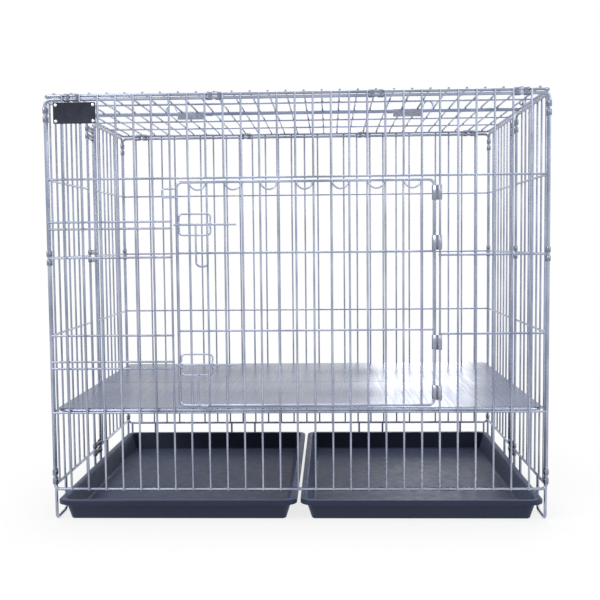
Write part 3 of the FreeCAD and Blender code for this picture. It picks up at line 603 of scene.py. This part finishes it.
def floor_frame():
    """The frame that carries the floor plates: slats front to back over bearers across."""
    low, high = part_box("floor_frame")
    across = (low.x + FRAME_R, high.x - FRAME_R)
    along = (low.y + FRAME_R, high.y - FRAME_R)
    corners = level_loop(*across, *along, high.z - FRAME_R)
    wires = Wires(41)
    wires.tube(rounded(corners, FLOOR_BEND), FRAME_R, closed=True)
    slat = high.z - MESH_R
    bearer = slat - MESH_STEP
    depth = back_plane - front_plane
    rows = [front_plane + depth * i / BAYS for i in range(1, BAYS)]
    for i in range(2, COLUMNS - 1, 2):
        ends = [Vector((column(i), y, slat)) for y in along]
        wires.straight(*ends, MESH_R)
        wires.welds([Vector((column(i), y, slat - MESH_STEP / 2)) for y in rows], Z)
    for y in rows:
        ends = [Vector((x, y, bearer)) for x in across]
        wires.straight(*ends, MESH_R, Y)
    wires.make("floor_wires", "cage", "floor_frame", WIRE)


# Trays


def ring(low, high, inset, bend, z):
    """A level rounded rectangle inside a box."""
    corners = level_loop(low.x + inset, high.x - inset, low.y + inset, high.y - inset, z)
    return rounded(corners, max(bend, TRAY_LEAST_BEND), steps=TRAY_BEND_STEPS)


def loft(rings):
    """Faces between closed rings of the same length; the first and last are capped."""
    vertices = [point for loop in rings for point in loop]
    count = len(rings[0])
    faces = []
    for i in range(len(rings) - 1):
        low, high = i * count, (i + 1) * count
        for k in range(count):
            following = (k + 1) % count
            faces.append((low + k, low + following, high + following, high + k))
    faces.append(tuple(reversed(range(count))))
    last = (len(rings) - 1) * count
    faces.append(tuple(last + k for k in range(count)))
    return vertices, faces


def soften(points):
    """A path of (inset, height, bend) corners, each one rounded by its own bend."""
    spots = [Vector((inset, height, 0)) for inset, height, _ in points]
    path = []
    for i, (_, _, bend) in enumerate(points):
        if i in (0, len(points) - 1):
            path.append(spots[i])
            continue
        path += rounded(spots[i - 1 : i + 2], bend, closed=False, steps=PROFILE_STEPS)[1:-1]
    return path


def tray(node, body):
    """A moulded tray: soft floor edge, leaning walls, and a rounded lip that turns down."""
    low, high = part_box(node)
    rim = high.z
    under = rim - TRAY_WALL
    outer_foot = TRAY_LIP + TRAY_DRAFT
    inner = TRAY_LIP + TRAY_WALL
    inner_foot = inner + TRAY_DRAFT * under / rim
    profile = soften(
        [
            (outer_foot + 9 * MM, 0.5 * MM, 1 * MM),
            (outer_foot + 4 * MM, 0.0, 1.5 * MM),
            (outer_foot, 0.0, 2.2 * MM),
            (TRAY_LIP, under, 1.2 * MM),
            (TRAY_WALL, under, 0.8 * MM),
            (TRAY_WALL - 0.6 * MM, rim - LIP_SKIRT, 0.5 * MM),
            (0.0, rim - LIP_SKIRT, 0.7 * MM),
            (0.0, rim, 2.4 * MM),
            (inner, rim, 2.2 * MM),
            (inner_foot, TRAY_WALL, 4.5 * MM),
            (inner_foot + 12 * MM, TRAY_WALL, 1 * MM),
        ]
    )
    rings = []
    for inset, height, _ in profile:
        bend = min(TRAY_CORNER - inset / 3, TRAY_CORNER + TRAY_DRAFT / 2 - inset)
        rings.append(ring(low, high, inset, bend, height))
    vertices, faces = loft(rings)
    piece(node + "_shell", vertices, faces, body, [node], TRAY, SHARP_SHEET)


# Sheet bands


def islands(node):
    """The box of each separate solid of a CAD node."""
    mesh = nodes[node].data
    parent = list(range(len(mesh.vertices)))

    def root(i):
        while parent[i] != i:
            parent[i] = parent[parent[i]]
            i = parent[i]
        return i

    for edge in mesh.edges:
        parent[root(edge.vertices[0])] = root(edge.vertices[1])
    groups = {}
    for vertex in mesh.vertices:
        groups.setdefault(root(vertex.index), []).append(vertex.co)
    boxes = {}
    for points in groups.values():
        low = Vector([min(p[i] for p in points) for i in range(3)])
        high = Vector([max(p[i] for p in points) for i in range(3)])
        boxes[tuple(round(c, 5) for c in (*low, *high))] = (low, high)
    return merge(list(boxes.values()))


def merge(boxes):
    """Joins boxes that overlap, because a solid's faces may not share their vertices."""
    done = False
    while not done:
        done = True
        for i, (low, high) in enumerate(boxes):
            for j in range(i + 1, len(boxes)):
                other_low, other_high = boxes[j]
                apart = any(
                    low[k] > other_high[k] + MERGE_DISTANCE
                    or other_low[k] > high[k] + MERGE_DISTANCE
                    for k in range(3)
                )
                if not apart:
                    joined_low = Vector([min(low[k], other_low[k]) for k in range(3)])
                    joined_high = Vector([max(high[k], other_high[k]) for k in range(3)])
                    boxes[i] = (joined_low, joined_high)
                    del boxes[j]
                    done = False
                    break
            if not done:
                break
    return boxes


def wrap(start, end, half, axis, length, waist):
    """A strip bent round two wires and pressed in between them, with eased edges.

    start and end are the wires' centres at the strip's lower edge, and half is its outer radius.
    """
    across = end - start
    spacing = across.length
    u = across.normalized()
    v = axis.cross(u)
    edge, wall = BAND_EDGE, BAND_WALL

    def outline(offset):
        """Round one wire, along one side, round the other wire, and back along the other side."""
        radius = half - offset
        points = []
        for sign, centre in ((1, spacing), (-1, 0.0)):
            for k in range(BAND_TURN_STEPS + 1):
                angle = -sign * math.pi / 2 + math.pi * k / BAND_TURN_STEPS
                points.append((centre + math.cos(angle) * radius, math.sin(angle) * radius))
            for k in range(1, BAND_SIDE_STEPS):
                walked = k / BAND_SIDE_STEPS
                share = 1 - walked if sign > 0 else walked
                dip = (half - waist) * math.sin(math.pi * share) ** 2
                points.append((spacing * share, sign * (radius - dip)))
        return points

    section = [
        (0.0, edge),
        (edge, 0.0),
        (length - edge, 0.0),
        (length, edge),
        (length, wall - edge),
        (length - edge, wall),
        (edge, wall),
        (0.0, wall - edge),
    ]
    vertices, faces = [], []
    for rise, offset in section:
        for a, b in outline(offset):
            vertices.append(start + u * a + v * b + axis * rise)
    total = len(section)
    count = len(vertices) // total
    for i in range(total):
        low, high = i * count, (i + 1) % total * count
        for k in range(count):
            following = (k + 1) % count
            faces.append((low + k, low + following, high + following, high + k))
    return vertices, faces


def together(shapes):
    """The vertices and faces of several shapes as one."""
    vertices, faces = [], []
    for more_vertices, more_faces in shapes:
        first = len(vertices)
        vertices += more_vertices
        faces += [tuple(first + k for k in face) for face in more_faces]
    return vertices, faces


def bands(name, body, replaced, strips, material):
    """One piece of all the strips of a CAD node."""
    vertices, faces = together(wrap(*strip) for strip in strips)
    piece(name, vertices, faces, body, [replaced], material, SHARP_SHEET)


def upright_strips(node, waist):
    """Bands whose two wires stand upright, side by side along Y."""
    for low, high in islands(node):
        half = (high.x - low.x) / 2
        middle = (high.x + low.x) / 2
        start = Vector((middle, low.y + half, low.z))
        end = Vector((middle, high.y - half, low.z))
        yield start, end, half, Z, high.z - low.z, waist


def lid_strips(node, lean, waist):
    """Bands that hold the lid's rail to the rail under it; they lean a little."""
    for low, high in islands(node):
        half = (high.y - low.y - PAIR_LEAN) / 2
        edges = (low.y + half, high.y - half)
        below, above = edges if lean > 0 else edges[::-1]
        start = Vector((low.x, below, low.z + half))
        end = Vector((low.x, above, high.z - half))
        yield start, end, half, X, high.x - low.x, waist


def door_strips(node, waist):
    """Bands from the upright wire in front to the door's post behind it."""
    for low, high in islands(node):
        half = DOOR_R + PLAY + BAND_WALL
        start = Vector((high.x - half, low.y + half, low.z))
        end = Vector((low.x + half, high.y - half, low.z))
        yield start, end, half, Z, high.z - low.z, waist


def all_bands():
    for side in ("left", "right"):
        for place in ("front", "rear"):
            node = f"{side}_{place}_corner_bands"
            bands(node + "_strips", "cage", node, upright_strips(node, WAIST), SHADED_BAND)
        node = f"{side}_fold_bands"
        bands(node + "_strips", "cage", node, upright_strips(node, FOLD_WAIST), SHADED_BAND)
    for node, lean in (("top_front_hinges", 1), ("top_rear_hinges", -1)):
        bands(node + "_strips", "cage", node, lid_strips(node, lean, WAIST), SHADED_BAND)
    # The door's hinge strips take the lighter band copy, painted light.
    strips = door_strips("door_hinges", DOOR_WAIST)
    bands("door_hinge_strips", "door_leaf", "door_hinges", strips, LIT_BAND)


# Nameplate


def lathe(profile, middle):
    """A turned shape round Y: (radius, distance behind the middle) pairs."""
    angles = [2 * math.pi * k / TURNED_SIDES for k in range(TURNED_SIDES)]
    rings = []
    for radius, depth in profile:
        turned = [Vector((math.cos(a) * radius, depth, math.sin(a) * radius)) for a in angles]
        rings.append([middle + point for point in turned])
    return loft(rings)


def nameplate():
    """A bare plate with a raised rim."""
    low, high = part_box("nameplate")
    thick = high.y - low.y

    def level(inset, bend, depth):
        sides = (low.x + inset, high.x - inset, low.z + inset, high.z - inset)
        return rounded(upright_loop(*sides, depth), bend, steps=PLATE_STEPS)

    rings = [
        level(0.3 * MM, 1.6 * MM, high.y),
        level(0.0, 1.8 * MM, high.y - 0.3 * MM),
        level(0.0, 1.8 * MM, low.y + 0.4 * MM),
        level(0.4 * MM, 1.6 * MM, low.y),
        level(1.7 * MM, 1.4 * MM, low.y),
        level(2.2 * MM, 1.2 * MM, low.y + 0.5 * MM),
        level(2.6 * MM, 1.2 * MM, low.y + thick / 3),
    ]
    vertices, faces = loft(rings)
    piece("nameplate_shell", vertices, faces, "cage", ["nameplate"], LABEL)


def rivets():
    """Domed heads in front of the plate, shanks, and flat tails behind it."""
    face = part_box("nameplate")[0].y
    low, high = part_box("nameplate_rivets")
    tail = high.y - face
    profile = [
        (0.4 * MM, -1.2 * MM),
        (1.3 * MM, -1.05 * MM),
        (2.2 * MM, -0.7 * MM),
        (2.85 * MM, -0.2 * MM),
        (RIVET_HEAD, 0.1 * MM),
        (RIVET_HEAD, 0.45 * MM),
        (RIVET_SHANK, 0.5 * MM),
        (RIVET_SHANK, tail - 1.2 * MM),
        (RIVET_TAIL, tail - 1.1 * MM),
        (RIVET_TAIL, tail - 0.4 * MM),
        (1.4 * MM, tail),
    ]
    across = (low.x + RIVET_HEAD, high.x - RIVET_HEAD)
    upright = (low.z + RIVET_HEAD, high.z - RIVET_HEAD)
    middles = [Vector((x, face, z)) for x in across for z in upright]
    vertices, faces = together(lathe(profile, middle) for middle in middles)
    piece("rivets", vertices, faces, "cage", ["nameplate_rivets"], RIVET)


front_panel()
back_panel()
for seed, node in enumerate(
    ("left_side_front", "left_side_rear", "right_side_front", "right_side_rear"), start=21
):
    side_panel(node, seed)
lid("top_front_panel", "top_front", [1], 51)
lid("top_rear_panel", "top_rear", [3, 4], 52)
door()
floor_frame()
tray("left_tray", "left_pan")
tray("right_tray", "right_pan")
all_bands()
nameplate()
rivets()


# Studio

AMBIENT = 0.6
FLOOR_WHITE = 0.8  # the share of plain white in the floor beside the object
WHITE_FROM, WHITE_TO = 0.7, 1.9  # metres from the middle, where the floor turns to plain white
FLOOR_REACH = 30.0
FLOOR_DROP = 0.2 * MM  # below the object's feet
# name, place, target, width, height, watts
LAMPS = (
    ("key", (-2.2, -2.4, 2.6), (0, 0, 0.35), 1.6, 1.6, 60),
    ("fill", (2.6, -1.8, 1.6), (0, 0, 0.35), 1.6, 1.6, 24),
    ("over", (0.3, 0.8, 3.0), (0, 0, 0.3), 2.2, 2.2, 48),
    ("window", (0.62, 3.4, 0.75), (0.1, 0, 0.3), 0.55, 0.8, 4.8),
)
CAMERA_PLACE = (0.0599, -1.8682, 0.5051)
CAMERA_LENS = 52.74  # mm, on a sensor 36 mm wide
CAMERA_YAW, CAMERA_DOWN, CAMERA_ROLL = 1.96, 3.7, -0.55  # degrees

world = bpy.context.scene.world or bpy.data.worlds.new("studio")
bpy.context.scene.world = world
world.use_nodes = True
world_tree = world.node_tree
background = world_tree.nodes["Background"]
background.inputs["Color"].default_value = (1, 1, 1, 1)


def seen_rays(tree):
    """1 for camera, glossy and transmission rays."""
    path = tree.nodes.new("ShaderNodeLightPath")
    first = tree.nodes.new("ShaderNodeMath")
    first.operation = "MAXIMUM"
    second = tree.nodes.new("ShaderNodeMath")
    second.operation = "MAXIMUM"
    tree.links.new(path.outputs["Is Camera Ray"], first.inputs[0])
    tree.links.new(path.outputs["Is Glossy Ray"], first.inputs[1])
    tree.links.new(first.outputs[0], second.inputs[0])
    tree.links.new(path.outputs["Is Transmission Ray"], second.inputs[1])
    return second.outputs[0]


# The world lights the object at AMBIENT and looks plain white.
strength = spread(world_tree, seen_rays(world_tree), AMBIENT, 1.0, 0.0, 1.0)
world_tree.links.new(strength, background.inputs["Strength"])

floor_material = bpy.data.materials.new("studio_floor")
floor_material.use_nodes = True
floor_tree = floor_material.node_tree
paint = floor_tree.nodes["Principled BSDF"]
paint.inputs["Base Color"].default_value = (0.9, 0.9, 0.91, 1)
paint.inputs["Roughness"].default_value = 0.9
glow = floor_tree.nodes.new("ShaderNodeEmission")
glow.inputs["Color"].default_value = (1, 1, 1, 1)
blend = floor_tree.nodes.new("ShaderNodeMixShader")
# The paint shows round the object and gives way to plain white further out.
spot = floor_tree.nodes.new("ShaderNodeTexCoord")
distance = floor_tree.nodes.new("ShaderNodeVectorMath")
distance.operation = "LENGTH"
floor_tree.links.new(spot.outputs["Object"], distance.inputs[0])
fade = spread(floor_tree, distance.outputs["Value"], FLOOR_WHITE, 1.0, WHITE_FROM, WHITE_TO)
both = floor_tree.nodes.new("ShaderNodeMath")
both.operation = "MULTIPLY"
floor_tree.links.new(fade, both.inputs[0])
floor_tree.links.new(seen_rays(floor_tree), both.inputs[1])
floor_tree.links.new(both.outputs[0], blend.inputs["Fac"])
floor_tree.links.new(paint.outputs["BSDF"], blend.inputs[1])
floor_tree.links.new(glow.outputs["Emission"], blend.inputs[2])
output = floor_tree.nodes["Material Output"]
floor_tree.links.new(blend.outputs["Shader"], output.inputs["Surface"])

floor_mesh = bpy.data.meshes.new("studio_floor")
floor_corners = level_loop(-FLOOR_REACH, FLOOR_REACH, -FLOOR_REACH, FLOOR_REACH, 0)
floor_mesh.from_pydata([tuple(corner) for corner in floor_corners], [], [(0, 1, 2, 3)])
floor_mesh.materials.append(floor_material)
floor = bpy.data.objects.new("studio_floor", floor_mesh)
floor.location.z = -FLOOR_DROP
bpy.context.scene.collection.objects.link(floor)


def softbox(name, place, target, width, height, power):
    """A rectangular lamp that faces its target."""
    data = bpy.data.lights.new(name, "AREA")
    data.shape = "RECTANGLE"
    data.size, data.size_y, data.energy = width, height, power
    lamp = bpy.data.objects.new(name, data)
    lamp.location = place
    lamp.rotation_euler = (Vector(target) - Vector(place)).to_track_quat("-Z", "Y").to_euler()
    bpy.context.scene.collection.objects.link(lamp)


for lamp_facts in LAMPS:
    softbox(*lamp_facts)

# The camera stands in front, a little right of the middle, and looks slightly left and down.
camera_data = bpy.data.cameras.new("camera")
camera_data.sensor_width = 36
camera_data.lens = CAMERA_LENS
camera_data.clip_end = 200
camera = bpy.data.objects.new("camera", camera_data)
camera.location = CAMERA_PLACE
camera.rotation_mode = "QUATERNION"
look = (
    Matrix.Rotation(math.radians(CAMERA_YAW), 3, "Z")
    @ Matrix.Rotation(math.radians(90 - CAMERA_DOWN), 3, "X")
    @ Matrix.Rotation(math.radians(CAMERA_ROLL), 3, "Z")
)
camera.rotation_quaternion = look.to_quaternion()
bpy.context.scene.collection.objects.link(camera)
bpy.context.scene.camera = camera
bpy.context.scene.view_settings.view_transform = "Standard"
